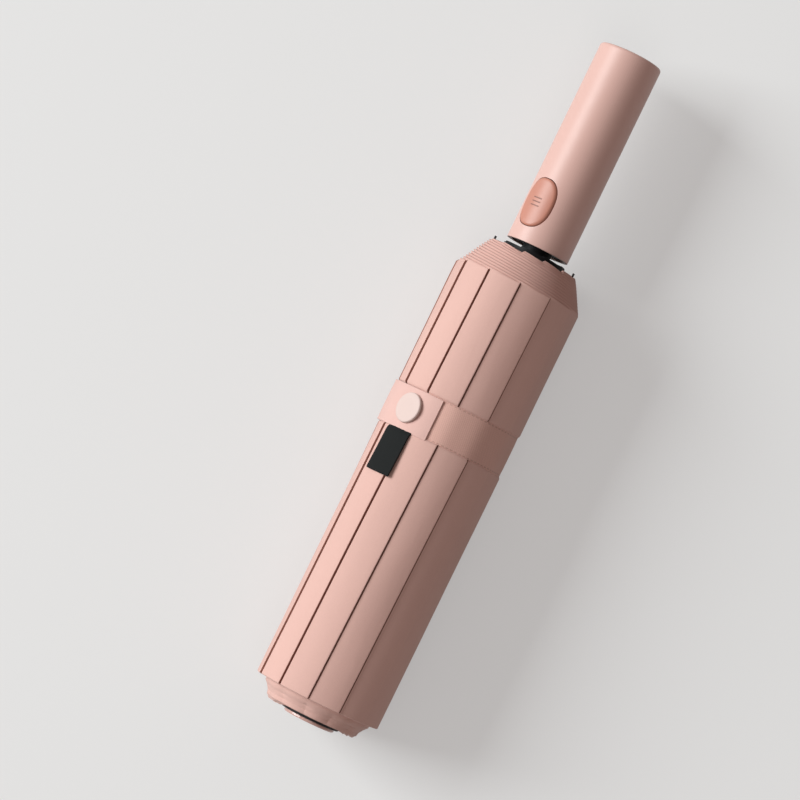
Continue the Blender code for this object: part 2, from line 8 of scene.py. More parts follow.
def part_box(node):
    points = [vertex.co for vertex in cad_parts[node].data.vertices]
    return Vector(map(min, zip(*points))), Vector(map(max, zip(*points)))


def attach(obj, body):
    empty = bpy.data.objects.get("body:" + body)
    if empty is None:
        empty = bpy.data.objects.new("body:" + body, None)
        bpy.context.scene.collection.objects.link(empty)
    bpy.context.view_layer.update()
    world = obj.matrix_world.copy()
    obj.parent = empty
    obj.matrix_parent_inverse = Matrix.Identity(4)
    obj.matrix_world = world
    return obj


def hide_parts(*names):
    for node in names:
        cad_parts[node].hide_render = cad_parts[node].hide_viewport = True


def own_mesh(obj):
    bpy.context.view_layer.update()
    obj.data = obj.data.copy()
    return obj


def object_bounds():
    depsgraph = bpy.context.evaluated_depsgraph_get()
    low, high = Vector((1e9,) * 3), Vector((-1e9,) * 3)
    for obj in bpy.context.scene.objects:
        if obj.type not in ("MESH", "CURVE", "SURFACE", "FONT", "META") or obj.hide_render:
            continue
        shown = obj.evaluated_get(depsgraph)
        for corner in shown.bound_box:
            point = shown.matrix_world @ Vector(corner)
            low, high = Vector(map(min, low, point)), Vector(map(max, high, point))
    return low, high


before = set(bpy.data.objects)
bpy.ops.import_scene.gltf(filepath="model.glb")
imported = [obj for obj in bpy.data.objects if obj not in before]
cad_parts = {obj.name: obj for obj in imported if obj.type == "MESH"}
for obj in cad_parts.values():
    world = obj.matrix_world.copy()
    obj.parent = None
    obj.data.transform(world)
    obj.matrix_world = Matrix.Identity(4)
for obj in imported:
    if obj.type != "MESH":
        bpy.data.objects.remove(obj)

cadBox = [list(corner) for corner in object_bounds()]
handleLow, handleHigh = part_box("handle_shell")
axisZ = (handleLow.z + handleHigh.z) / 2        # the shaft's height
crownY = cadBox[0][1]
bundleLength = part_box("canopy")[1].y - crownY
fullTurn = 2 * math.pi


# Places and mesh helpers

def around(angle, radius, distance):
    # a point at a clock angle and radius, never below the surface that the bundle rests on
    height = axisZ + radius * math.cos(angle)
    return Vector((radius * math.sin(angle), crownY + distance, max(height, 0.0)))


def blendValue(first, second, share):
    return first + (second - first) * share


def readTable(table, place):
    # straight runs between the (place, value) pairs of a table
    for (startAt, startValue), (endAt, endValue) in zip(table, table[1:]):
        if place <= endAt:
            share = (place - startAt) / (endAt - startAt)
            return blendValue(startValue, endValue, min(max(share, 0.0), 1.0))
    return table[-1][1]


def addObject(name, mesh, finishes):
    piece = bpy.data.objects.new(name, mesh)
    bpy.context.scene.collection.objects.link(piece)
    for finish in finishes:
        piece.data.materials.append(finish)
    return piece


def addGrid(shape, rows, slotOf=None, closeRows=False, capEnds=False):
    # rings of points joined by one face between each four neighbours
    grid = [[shape.verts.new(point) for point in row] for row in rows]
    pairs = list(zip(grid, grid[1:])) + ([(grid[-1], grid[0])] if closeRows else [])
    for row, following in pairs:
        for place in range(len(row)):
            after = (place + 1) % len(row)
            face = shape.faces.new((row[place], row[after], following[after], following[place]))
            face.material_index = slotOf(place) if slotOf else 0
    if capEnds:
        shape.faces.new(grid[0])
        shape.faces.new(grid[-1])


def fromRows(name, rows, finishes, sharpAt=40, closeRows=False, capEnds=False):
    shape = bmesh.new()
    addGrid(shape, rows, closeRows=closeRows, capEnds=capEnds)
    return addObject(name, smoothMesh(shape, name, sharpAt), finishes)


def smoothMesh(shape, name, sharpAt):
    bmesh.ops.recalc_face_normals(shape, faces=shape.faces)
    mesh = bpy.data.meshes.new(name)
    shape.to_mesh(mesh)
    shape.free()
    mesh.shade_smooth()
    mesh.set_sharp_from_angle(angle=math.radians(sharpAt))
    return mesh


# Shader sums as plain expressions

class Signal:
    def __init__(self, finish, socket):
        self.finish = finish
        self.socket = socket

    def sum(self, operation, *terms):
        return self.finish.node("Math", {"operation": operation}, dict(enumerate(terms)))

    def __add__(self, other): return self.sum("ADD", self, other)
    def __radd__(self, other): return self.sum("ADD", other, self)
    def __sub__(self, other): return self.sum("SUBTRACT", self, other)
    def __mul__(self, other): return self.sum("MULTIPLY", self, other)
    def __gt__(self, other): return self.sum("GREATER_THAN", self, other)
    def __lt__(self, other): return self.sum("LESS_THAN", self, other)


class Finish:
    def __init__(self, name, colour, roughness, metallic=0.0):
        self.material = bpy.data.materials.new(name)
        self.material.use_nodes = True
        self.tree = self.material.node_tree
        self.shader = self.tree.nodes["Principled BSDF"]
        self.material.diffuse_color = (*colour, 1.0)
        self.set("Base Color", colour)
        self.set("Roughness", roughness)
        self.set("Metallic", metallic)

    def feed(self, socket, value):
        if isinstance(value, Signal):
            self.tree.links.new(value.socket, socket)
        elif isinstance(value, tuple) and len(socket.default_value) == 4:
            socket.default_value = (*value, 1.0)
        else:
            socket.default_value = value

    def set(self, name, value):
        self.feed(self.shader.inputs[name], value)

    def node(self, kind, settings, values, output=0):
        made = self.tree.nodes.new("ShaderNode" + kind)
        for name, value in settings.items():
            if name == "stops":
                self.placeStops(made.color_ramp, value)
            else:
                setattr(made, name, value)
        for key, value in values.items():
            self.feed(made.inputs[key], value)
        return Signal(self, made.outputs[output])

    def placeStops(self, ramp, stops):
        while len(ramp.elements) < len(stops):
            ramp.elements.new(0.5)
        for element, (position, shade) in zip(ramp.elements, stops):
            element.position = position
            element.color = (shade, shade, shade, 1.0)

    def spot(self):
        # the place on the object at rest, in metres
        return self.node("TexCoord", {}, {}, "Object")

    def axis(self, index):
        # the x, y or z of that place: 0, 1 or 2
        return self.node("SeparateXYZ", {}, {0: self.spot()}, index)

    def wrap(self):
        # the clock angle about the shaft, and y
        rise = self.axis(2) - axisZ
        return self.node("Math", {"operation": "ARCTAN2"}, {0: self.axis(0), 1: rise}), self.axis(1)

    def sine(self, value):
        return self.node("Math", {"operation": "SINE"}, {0: value})

    def size(self, value):
        return self.node("Math", {"operation": "ABSOLUTE"}, {0: value})

    def clouds(self, scale, detail=3.0, roughness=0.5, stretch=(1.0, 1.0, 1.0)):
        scaled = self.node("VectorMath", {"operation": "MULTIPLY"}, {0: self.spot(), 1: stretch})
        return self.node("TexNoise", {}, {"Vector": scaled, "Scale": scale, "Detail": detail,
                                          "Roughness": roughness}, "Fac")

    def ramp(self, value, *stops):
        return self.node("ValToRGB", {"stops": stops}, {0: value})

    def mix(self, share, first, second):
        return self.node("Mix", {"data_type": "RGBA"}, {0: share, 6: first, 7: second}, 2)

    def bump(self, height, strength, distance):
        self.set("Normal", self.node("Bump", {}, {"Height": height, "Strength": strength,
                                                  "Distance": distance}))


def shade(colour, factor):
    return tuple(min(channel * factor, 1.0) for channel in colour)


# Finishes

strap = {
    "centre": 0.1357,
    "width": 0.0180,
    "inner": 0.0256,
    "thickness": 0.0010,
    "columns": 144,
    "faceRadius": 0.0264,      # where its weave is measured round the shaft
    "twillPitch": 0.00110,
    "stitchInset": 0.0006,
    "stitchPitch": 0.0020,
}
threads = {
    "pitch": 0.00034,          # between the threads of the canopy's cloths
    "tabPitch": 0.00030,
    "radius": 0.0275,          # where they are counted round the shaft
}

colours = {
    "handle": (0.625, 0.390, 0.341),
    "button": (0.475, 0.192, 0.134),
    "cloth": (0.645, 0.398, 0.345),
    # painted shade: a darker cloth colour for the fold grooves
    "creaseShade": (0.36, 0.150, 0.110),
    "webbing": (0.66, 0.392, 0.332),
    "tab": (0.665, 0.420, 0.372),
    "snap": (0.63, 0.486, 0.445),
    "rib": (0.68, 0.420, 0.360),
    "black": (0.016, 0.016, 0.018),
    "lining": (0.020, 0.020, 0.022),
    "steel": (0.60, 0.60, 0.62),
    "cap": (0.62, 0.360, 0.310),
    "tag": (0.011, 0.012, 0.012),
}


def clothFinish(name, colour, threadPitch, roughness):
    # fine plain weave, a little uneven in shade, with slack creases that run along the bundle
    finish = Finish(name, colour, roughness)
    angle, y = finish.wrap()
    warpCount = round(fullTurn * threads["radius"] / threadPitch)
    warp = finish.sine(angle * warpCount)
    weft = finish.sine(y * (fullTurn / threadPitch))
    weave = warp * weft
    slack = finish.clouds(60.0, 4.0, 0.55, (1.0, 0.25, 1.0))
    patches = finish.clouds(28.0, 2.0, 0.5, (1.0, 0.35, 1.0))
    fuzz = finish.clouds(2600.0, 2.0, 0.6)
    tone = patches * 0.55 + fuzz * 0.45 + weave * 0.06
    finish.set("Base Color", finish.mix(finish.ramp(tone, (0.25, 0.0), (0.75, 1.0)),
                                        shade(colour, 0.91), shade(colour, 1.07)))
    finish.set("Roughness", roughness - 0.08 + fuzz * 0.14)
    finish.set("Sheen Weight", 0.22)
    finish.set("Sheen Roughness", 0.45)
    finish.set("Specular IOR Level", 0.25)
    finish.bump(weave * 0.00003 + slack * 0.0007 + fuzz * 0.00004, 0.55, 1.0)
    return finish


def webbingFinish():
    # twilled band: slanting ribs crossed by finer threads, and a row of stitches along both edges
    colour = colours["webbing"]
    finish = Finish("strapWebbing", colour, 0.82)
    angle, y = finish.wrap()
    run = angle * strap["faceRadius"]
    twill = fullTurn / strap["twillPitch"]
    slant = finish.sine((run + y) * twill)
    cross = finish.sine((run - y) * twill)
    fuzz = finish.clouds(2400.0, 2.0, 0.6)
    patches = finish.clouds(60.0, 3.0, 0.5)
    ribs = finish.ramp(slant * 0.5 + 0.5, (0.08, 0.0), (0.6, 1.0))
    stitches = stitchRow(finish, run, y, strap["width"] / 2 - strap["stitchInset"])
    tone = ribs * 0.30 + cross * 0.10 + fuzz * 0.30 + patches * 0.25
    plain = finish.mix(tone, shade(colour, 0.86), shade(colour, 1.10))
    finish.set("Base Color", finish.mix(stitches, plain, shade(colour, 0.74)))
    finish.set("Roughness", 0.76 + fuzz * 0.14)
    finish.set("Sheen Weight", 0.2)
    finish.set("Specular IOR Level", 0.25)
    finish.bump(ribs * 0.00007 + cross * 0.00003 + fuzz * 0.00004 - stitches * 0.00006, 0.6, 1.0)
    return finish.material


def stitchRow(finish, run, y, offset):
    # short dashes beside both edges of the strap: 1 in a stitch, 0 off it
    side = finish.size(finish.size(y - (crownY + strap["centre"])) - offset)
    line = finish.ramp(side * 1000.0, (0.0, 1.0), (0.16, 1.0), (0.28, 0.0))
    beat = finish.sine(run * (fullTurn / strap["stitchPitch"])) * 0.5 + 0.5
    dash = finish.ramp(beat, (0.30, 0.0), (0.42, 1.0))
    return line * dash


tagRibPitch = 0.0004


def ribbonFinish():
    # close black satin ribbon: fine ribs across it
    colour = colours["tag"]
    finish = Finish("tagRibbon", colour, 0.5)
    ribs = finish.sine(finish.axis(1) * (fullTurn / tagRibPitch))
    fuzz = finish.clouds(2200.0, 2.0, 0.6)
    finish.set("Base Color", finish.mix(fuzz, shade(colour, 0.8), shade(colour, 1.25)))
    finish.set("Roughness", 0.70 + fuzz * 0.12)
    finish.set("Specular IOR Level", 0.10)
    finish.bump(ribs * 0.00003 + fuzz * 0.00003, 0.6, 1.0)
    return finish.material


def mouldedFinish(name, colour, roughness, grain, coat=0.0, gloss=0.5):
    # moulded plastic: fine spark grain, faint flow marks and light rub
    finish = Finish(name, colour, roughness)
    spark = finish.clouds(3200.0, 2.0, 0.7)
    flow = finish.clouds(24.0, 3.0, 0.5)
    rub = finish.ramp(finish.clouds(160.0, 5.0, 0.65), (0.52, 0.0), (0.72, 1.0))
    finish.set("Base Color", finish.mix(flow, shade(colour, 0.965), shade(colour, 1.03)))
    finish.set("Roughness", roughness - 0.03 + spark * 0.06 - rub * 0.05)
    finish.set("Coat Weight", coat)
    finish.set("Specular IOR Level", gloss)
    finish.bump(spark * grain + flow * grain * 2, 0.5, 1.0)
    return finish.material


def paintedRib(name, blackFrom, blackTo):
    # satin paint, with black joint sleeves outside the two distances from the crown
    finish = Finish(name, colours["rib"], 0.36)
    distance = finish.axis(1) - crownY
    black = finish.node("Math", {"operation": "MAXIMUM"},
                        {0: distance < blackFrom, 1: distance > blackTo})
    orange = finish.clouds(900.0, 2.0, 0.5)
    finish.set("Base Color", finish.mix(black, colours["rib"], colours["black"]))
    finish.set("Roughness", 0.32 + orange * 0.08 + black * 0.12)
    finish.bump(orange * 0.00003, 0.4, 1.0)
    return finish.material


def brushedSteel(name, colour, roughness):
    # drawn tube: fine scratches along its length
    finish = Finish(name, colour, roughness, 1.0)
    drawn = finish.clouds(1400.0, 4.0, 0.6, (1.0, 0.02, 1.0))
    finish.set("Roughness", roughness - 0.06 + drawn * 0.14)
    finish.set("Base Color", finish.mix(drawn, shade(colour, 0.9), shade(colour, 1.08)))
    finish.bump(drawn * 0.00002, 0.35, 1.0)
    return finish.material


canopyCloth = clothFinish("canopyCloth", colours["cloth"], threads["pitch"], 0.86).material
liningCloth = clothFinish("liningCloth", colours["lining"], threads["pitch"], 0.7).material
# painted shade: a darker copy of the cloth for the grooves beside the folds
creaseShadeCloth = clothFinish("creaseShadeCloth", colours["creaseShade"], threads["pitch"], 0.9).material
# painted shade: a darker copy of the cloth for the hem lines of the cone
hemShadeCloth = clothFinish("hemShadeCloth", shade(colours["cloth"], 0.72), threads["pitch"], 0.9).material
tagRibbon = ribbonFinish()
tabCloth = clothFinish("tabCloth", colours["tab"], threads["tabPitch"], 0.8).material
strapWebbing = webbingFinish()
handlePlastic = mouldedFinish("handlePlastic", colours["handle"], 0.42, 0.00002, gloss=0.35)
snapPlastic = mouldedFinish("snapPlastic", colours["snap"], 0.50, 0.00002, gloss=0.2)
blackNylon = mouldedFinish("blackNylon", shade(colours["black"], 0.5), 0.55, 0.00003, gloss=0.15)
runnerNylon = mouldedFinish("runnerNylon", shade(colours["black"], 1.6), 0.45, 0.00003)
capPlastic = mouldedFinish("capPlastic", colours["cap"], 0.30, 0.00001, 0.2)
topRibPaint = paintedRib("topRibPaint", 0.0175, 0.1725)
middleRibPaint = paintedRib("middleRibPaint", 0.0300, 0.1750)
outerRibPaint = paintedRib("outerRibPaint", 0.0330, 0.2125)
strutSteel = brushedSteel("strutSteel", (0.12, 0.12, 0.13), 0.38)
tubeSteel = brushedSteel("tubeSteel", colours["steel"], 0.26)
print("finishes made")


# Wound canopy

canopy = {
    "radius": 0.0277,          # out to the fold edges
    "pleats": 12,
    "pleatStep": 0.0007,       # how far each panel sinks under its neighbour's fold
    "grooveDepth": 0.0016,
    "flatten": 0.00012,        # how far a panel's middle is pulled in towards a flat
    "hemAt": 0.0097,           # the panels' straight lower hem
    "coneLength": 0.0140,
    "hemStep": 0.00066,        # how far each layered hem of the cone draws in
    "hemTilt": -0.60,          # below 0, each hem flares out towards its edge
    "coneLayers": 12,
    "waistAt": strap["centre"],
    "waistHalf": 0.0089,
    "waistDepth": 0.0021,
    "waistEase": 0.0011,
    "bore": 0.0167,
    "slack": 0.00016,          # uneven hand-wound cloth
    # shares of a pleat: the groove beside a fold, where the panel starts, and the fold's rounding
    "grooveFrom": 0.004,
    "grooveTo": 0.034,
    "panelFrom": 0.046,
    "roundFrom": 0.985,
    "edgeSink": 0.12,          # how far the fold's edge rounds down, in steps
    "creaseShadeColumns": 3,        # the last column of faces in the groove painted darker as shade
    "ringGap": 0.0082,         # between the rings of the plain lengths
    "pinchRun": 0.0006,        # the waist's full pinch starts this far in
    "waistRelief": 0.65,       # how much of the folds' relief the strap presses flat
}
# the crease and hem slots hold painted shade: cloth coloured darker in the fold grooves and under
# the cone's hems
slots = {"cloth": 0, "lining": 1, "creaseShade": 2, "hem": 3}

# where the columns lie across one pleat, from a fold edge to the next
pleatColumns = [0.0, canopy["grooveFrom"], 0.018, canopy["grooveTo"], canopy["panelFrom"],
                0.062, 0.10, 0.17, 0.25, 0.34, 0.43, 0.52, 0.61, 0.70, 0.79, 0.87, 0.93, 0.965,
                canopy["roundFrom"], 0.996]


def pleatDrop(share):
    # depth below the fold edge across one pleat
    groove = canopy["grooveDepth"]
    step = canopy["pleatStep"]
    edge = canopy["edgeSink"] * step
    grooveFrom, grooveTo = canopy["grooveFrom"], canopy["grooveTo"]
    panelFrom, roundFrom = canopy["panelFrom"], canopy["roundFrom"]
    if share < grooveFrom:
        return blendValue(edge, groove, share / grooveFrom)
    if share < grooveTo:
        return groove
    if share < panelFrom:
        return blendValue(groove, step, (share - grooveTo) / (panelFrom - grooveTo))
    along = (share - panelFrom) / (1 - panelFrom)
    flat = canopy["flatten"] * 4 * along * (1 - along)
    rounding = edge * max(0.0, (share - roundFrom) / (1 - roundFrom))
    return blendValue(step, 0.0, along) + flat + rounding


def slackAt(angle, distance, size):
    spot = Vector((math.sin(angle) * 2.0, distance * 22.0, math.cos(angle) * 2.0))
    return noise.noise(spot) * size


# how far the folds lean at a distance, and where each lies round the shaft, in degrees: wound by
# hand, so a little uneven
twistTable = [(0.0, -8.8), (0.0097, -8.5), (0.126, -3.4), (0.1445, -2.2), (0.2, -0.2),
              (0.2155, 0.0)]
foldTable = [(0.0, 0.0), (1.0, 30.2), (10.0, 296.4), (11.0, 328.4), (12.0, 360.0)]


def foldAngle(column, distance):
    return math.radians(readTable(foldTable, column % 12.0) + readTable(twistTable, distance))


# the bundle stands out more on one side, where its last panel is wound less tight
bulgeTable = [(-180.0, 0.0), (-140.0, 0.0002), (-110.0, 0.0009), (-90.0, 0.0013),
              (-71.0, 0.0006), (-52.0, 0.0), (180.0, 0.0)]
bulgeReach = [(0.0, 1.0), (0.2004, 1.0), (0.2015, 0.35), (0.2028, 0.0), (0.2155, 0.0)]


def bulgeAt(angle, distance):
    clock = math.degrees(math.remainder(angle, fullTurn))
    return readTable(bulgeTable, clock) * readTable(bulgeReach, distance)


def panelPoint(pleat, share, distance, radius, relief):
    angle = foldAngle(pleat + share, distance)
    drop = (pleatDrop(share) - slackAt(angle, distance, canopy["slack"])) * relief
    return around(angle, radius - drop + bulgeAt(angle, distance) * relief, distance)


def panelRing(distance, radius, relief):
    return [panelPoint(pleat, share, distance, radius, relief)
            for pleat in range(canopy["pleats"]) for share in pleatColumns]


def bodyRings():
    waistStart = canopy["waistAt"] - canopy["waistHalf"]
    waistEnd = canopy["waistAt"] + canopy["waistHalf"]
    ease = canopy["waistEase"]
    run = canopy["pinchRun"]
    gap = canopy["ringGap"]
    coneStart = bundleLength - canopy["coneLength"]
    stops = [canopy["hemAt"] + 0.0003, canopy["hemAt"] + 0.0012]
    stops += [0.016 + gap * index for index in range(13)]
    stops += [waistStart - ease, waistStart - ease / 2, waistStart, waistStart + run]
    stops += [waistEnd - run, waistEnd, waistEnd + ease / 2, waistEnd + ease]
    stops += [0.1545 + gap * index for index in range(6)]
    stops += [coneStart - 0.0009, coneStart - 0.0002, coneStart]
    rings = []
    profile = [(0.0, 0.0), (waistStart - ease, 0.0), (waistStart - ease / 2, 0.1),
               (waistStart, 0.42), (waistStart + run, 1.0), (waistEnd - run, 1.0),
               (waistEnd, 0.42), (waistEnd + ease / 2, 0.1), (waistEnd + ease, 0.0)]
    for distance in stops:
        pinch = readTable(profile, distance)
        radius = canopy["radius"] - canopy["waistDepth"] * pinch
        rings.append(panelRing(distance, radius, 1 - canopy["waistRelief"] * pinch))
    return rings


# a layered hem across one tread, from the last riser to the next: extra depth in steps
hemTable = [(0.0, 0.30), (0.18, 0.22), (0.26, 0.06), (0.6, 0.0), (0.92, 0.0), (0.985, 0.12),
            (1.0, 0.18)]

mouthShape = {
    "firstTooth": 15.5,        # clock angle in degrees, then one for each pleat
    "sunk": 0.0003,
    "toothFall": 0.0011,
    "topCosine": 0.70,         # the teeth are full where the angle's cosine is above this
    "sideShare": 0.3,          # how much of them is left elsewhere
    "reach": 0.0032,           # how far down the cone they are felt
}


def mouthEdge(angle):
    # the mouth's edge falls along each fold's hem and steps up to the next, most at the top
    turn = (math.degrees(angle) - mouthShape["firstTooth"]) * canopy["pleats"] / 360.0
    lean = 1.0 if math.cos(angle) > mouthShape["topCosine"] else mouthShape["sideShare"]
    return -mouthShape["sunk"] - mouthShape["toothFall"] * lean * (turn - math.floor(turn))


def conePoint(column, climb):
    # each panel's hem leaves its fold at the foot of the cone and climbs one turn back to the mouth
    length = canopy["coneLength"]
    share = column % 1.0
    climb = min(max(climb, 0.0), length)
    distance = bundleLength - length + climb
    angle = foldAngle(column, distance)
    layer = climb * canopy["coneLayers"] / length
    turn = share - 1.0 + layer
    passed = math.floor(turn) + 1
    depth = blendValue(passed + 1 - share, layer + 0.5, canopy["hemTilt"])
    depth += readTable(hemTable, turn - math.floor(turn))
    body = max(0.0, 1.0 - layer / 0.3)
    radius = canopy["radius"] - blendValue(depth * canopy["hemStep"], pleatDrop(share), body)
    radius += slackAt(angle, distance, canopy["slack"]) + bulgeAt(angle, distance)
    distance += mouthEdge(angle) * max(0.0, 1.0 - (length - climb) / mouthShape["reach"])
    return around(angle, radius, distance)


def allColumns():
    return [pleat + share for pleat in range(canopy["pleats"]) for share in pleatColumns]


def addCone(shape):
    # rows follow the hems, so at each fold a row runs on as the one a layer below
    layerLength = canopy["coneLength"] / canopy["coneLayers"]
    perLayer = len(hemTable) - 1
    columns = allColumns()
    rows = perLayer * (canopy["coneLayers"] + 1) + 1
    grid = {}
    for place, column in enumerate(columns):
        for row in range(rows):
            layer, part = divmod(row, perLayer)
            climb = (layer + hemTable[part][0] + 0.0005 - column % 1.0) * layerLength
            grid[place, row] = shape.verts.new(conePoint(column, climb))
    for place, column in enumerate(columns):
        after = (place + 1) % len(columns)
        shift = perLayer if columns[after] % 1.0 == 0 else 0
        if shift:
            shape.faces.new((grid[place, shift - 1], grid[after, 0], grid[place, shift]))
        for row in range(shift, rows - 1):
            face = shape.faces.new((grid[place, row], grid[after, row - shift],
                                    grid[after, row + 1 - shift], grid[place, row + 1]))
            # the first faces after each hem's riser take painted shade, a dark line under the lip
            onHemShade = row % perLayer == 0 and row > perLayer
            face.material_index = slots["hem"] if onHemShade else slots["cloth"]


# the mouth inwards: radius, rise past the bundle's end, and how much of the toothed edge is kept.
# Inside the rim the dark layers lie just under the collar's bars
mouthProfile = [
    (0.0189, 0.0001, 1.0), (0.0187, -0.0002, 1.0), (0.0185, -0.0007, 0.0), (0.0172, -0.0006, 0.0),
    (0.0170, -0.0008, 0.0), (0.0158, -0.0006, 0.0), (0.0156, -0.0008, 0.0),
    (0.01455, -0.0006, 0.0), (0.01440, -0.0008, 0.0), (0.01455, -0.0011, 0.0),
]


def mouthRings():
    rings = []
    for radius, rise, edge in mouthProfile:
        ring = []
        for column in allColumns():
            angle = foldAngle(column, bundleLength)
            ring.append(around(angle, radius, bundleLength + mouthEdge(angle) * edge + rise))
        rings.append(ring)
    return rings


# the part of the crown's rim that draws in, in degrees
crownSlit = {"centre": 12.0, "halfSpan": 80.0, "fade": 28.0}


def roundRing(radius, distance, lobes=0.0, sunk=0.0):
    # lobes: one soft scallop for each fold; sunk: how far the ring draws in along the top
    ring = []
    for pleat in range(canopy["pleats"]):
        for share in pleatColumns:
            angle = foldAngle(pleat + share, distance)
            scallop = lobes * abs(math.sin(share * math.pi)) - lobes * 0.6
            clock = math.degrees(math.remainder(angle, fullTurn))
            inside = crownSlit["halfSpan"] - abs(clock - crownSlit["centre"])
            inward = sunk * min(max(inside / crownSlit["fade"], 0.0), 1.0)
            ring.append(around(angle, radius + scallop, distance + inward))
    return ring


def crownRings():
    # the dark lining round the cap, its black also painted shade for the slit between cap and
    # cloth, the layered end folds, then up under the overhanging hem
    hem = canopy["hemAt"]
    sink = 0.0012
    folds = (
        (0.0042, 0.0036, 0.0, 0.0), (0.0104, 0.0036, 0.0, 0.0), (0.0106, 0.0019, 0.0, 0.0),
        (0.0128, 0.0014, 0.0002, 0.0), (0.0131, 0.0018, 0.0003, sink),
        (0.0136, 0.0024, 0.0004, sink), (0.0140, 0.0017, 0.0005, sink),
        (0.0152, 0.0014, 0.0005, sink), (0.0156, 0.0022, 0.0005, sink),
        (0.0160, 0.0016, 0.0005, sink), (0.0171, 0.0014, 0.0005, sink),
        (0.0176, 0.0024, 0.0005, sink), (0.0181, 0.0017, 0.0006, sink),
        (0.0193, 0.0018, 0.0006, sink), (0.0200, 0.0027, 0.0005, sink * 0.6),
    )
    rings = [roundRing(*fold) for fold in folds]
    bell = [(0.0030, 0.0205), (0.0044, 0.0208), (0.0058, 0.0215), (0.0070, 0.0225),
            (0.0084, 0.0238)]
    layer = 0.0018
    for index in range(3):
        distance = bell[0][0] + layer * index
        lip = distance + 0.0003
        rings.append(roundRing(readTable(bell, distance) - 0.00003, distance, 0.0006))
        rings.append(roundRing(readTable(bell, lip) + 0.00003, lip, 0.0005))
        rings.append(roundRing(readTable(bell, distance + layer * 0.9) + 0.00002,
                               distance + layer * 0.86, 0.0004))
    rings += [roundRing(0.0240, hem - 0.0004), roundRing(0.0243, hem + 0.0007)]
    rings += [panelRing(hem + 0.0003, canopy["radius"] - 0.0012, 0.8),
              panelRing(hem, canopy["radius"] - 0.0004, 1.0)]
    return rings


def boreRings():
    bore = canopy["bore"]
    rings = [roundRing(bore, bundleLength - 0.0012)]
    rings += [roundRing(bore, distance) for distance in (0.170, 0.125, 0.080, 0.035, 0.0070)]
    rings += [roundRing(0.0042, 0.0070), roundRing(0.0042, 0.0036)]
    return rings


# the faces in the groove beside each fold take the painted shade
def creaseShadeSlot(place):
    inCreaseShade = place % len(pleatColumns) <= canopy["creaseShadeColumns"]
    return slots["creaseShade"] if inCreaseShade else slots["cloth"]


def makeCanopy():
    shape = bmesh.new()
    crown = crownRings()
    body = bodyRings()
    mouth = mouthRings()
    lining = 5                  # rings at the crown that are lining, the last shared with the cloth
    # these lining rings are the cloth's black underside, and their black also paints the shadowed
    # slit between the cap and the cloth
    addGrid(shape, crown[:lining], lambda place: slots["lining"])
    addGrid(shape, crown[lining - 1:] + body[:1])
    addGrid(shape, body, creaseShadeSlot)
    addCone(shape)
    addGrid(shape, [mouthStart()] + mouth[:2])
    addGrid(shape, mouth[1:] + boreRings(), lambda place: slots["lining"])
    bmesh.ops.remove_doubles(shape, verts=shape.verts, dist=0.000002)
    finishes = [canopyCloth, liningCloth, creaseShadeCloth, hemShadeCloth]      # in the order of slots
    piece = addObject("woundCanopy", smoothMesh(shape, "woundCanopy", 42), finishes)
    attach(piece, "shaft_top")
    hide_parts("canopy")
    gatherWithRibs(piece)


def mouthStart():
    # the last ring of the cone again, so that the mouth joins it
    return [conePoint(column, canopy["coneLength"]) for column in allColumns()]


def gatherWithRibs(piece):
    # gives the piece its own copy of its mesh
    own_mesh(piece)


makeCanopy()
print("canopy made")


# Strap band, tab, snap and label tag

tab = {
    "inner": 0.02665,
    "thickness": 0.0007,
    "endAngle": math.radians(-15.2),
    "hingeAngle": math.radians(-104),
    "proud": 0.0009,           # how far it stands off where it leaves the band
    "proudShare": 0.55,        # the part of its length over which that fades
    "tuck": 0.0010,            # how far its root dips under the band
    "tuckShare": 0.12,
    "overhang": 0.0004,        # wider than the band
    "lean": 0.0006,            # how far its free end lies towards the crown
    "columns": 40,
}
snap = {
    "angle": math.radians(-43.3),
    "radius": 0.0066,
    "height": 0.0013,
    "base": 0.0273,
    "rim": 0.0004,
    "steps": 72,
}
tag = {
    "angle": math.radians(-43.8),
    "width": 0.0137,
    "end": 0.1062,
    "thickness": 0.0003,       # each of its two layers
}


def strapSection(inner, thickness, centre, width, swell=0.0):
    # (radius, distance) round a soft flat band with rolled edges
    half = width / 2
    edge = thickness * 0.45
    outer = inner + thickness
    return [
        (inner, centre - half + edge), (inner, centre), (inner, centre + half - edge),
        (inner + edge * 0.4, centre + half - edge * 0.25), (inner + thickness / 2, centre + half),
        (outer - edge * 0.4, centre + half - edge * 0.25), (outer, centre + half - edge),
        (outer - 0.00012, centre + half - edge * 3), (outer + swell, centre + half / 2),
        (outer + swell, centre), (outer + swell, centre - half / 2),
        (outer - 0.00012, centre - half + edge * 3), (outer, centre - half + edge),
        (outer - edge * 0.4, centre - half + edge * 0.25), (inner + thickness / 2, centre - half),
        (inner + edge * 0.4, centre - half + edge * 0.25),
    ]


# where the band stands off the cloth, by clock angle
standTable = [(0.0, 0.0), (40.0, 0.0), (80.0, 0.0005), (130.0, 0.0005), (200.0, 0.0),
              (360.0, 0.0)]


def bandRadius(angle):
    # the band shows the folds beneath it as faint ridges
    twist = math.radians(readTable(twistTable, strap["centre"]))
    turn = (angle - twist) * canopy["pleats"] / fullTurn
    ridge = 0.00016 * math.cos((turn - math.floor(turn)) * fullTurn)
    return ridge + readTable(standTable, math.degrees(angle))


# the band spreads where nothing presses it
spreadTable = [(0.0, 0.0), (30.0, 0.0), (75.0, 0.0020), (150.0, 0.0020), (250.0, 0.0),
               (360.0, 0.0)]


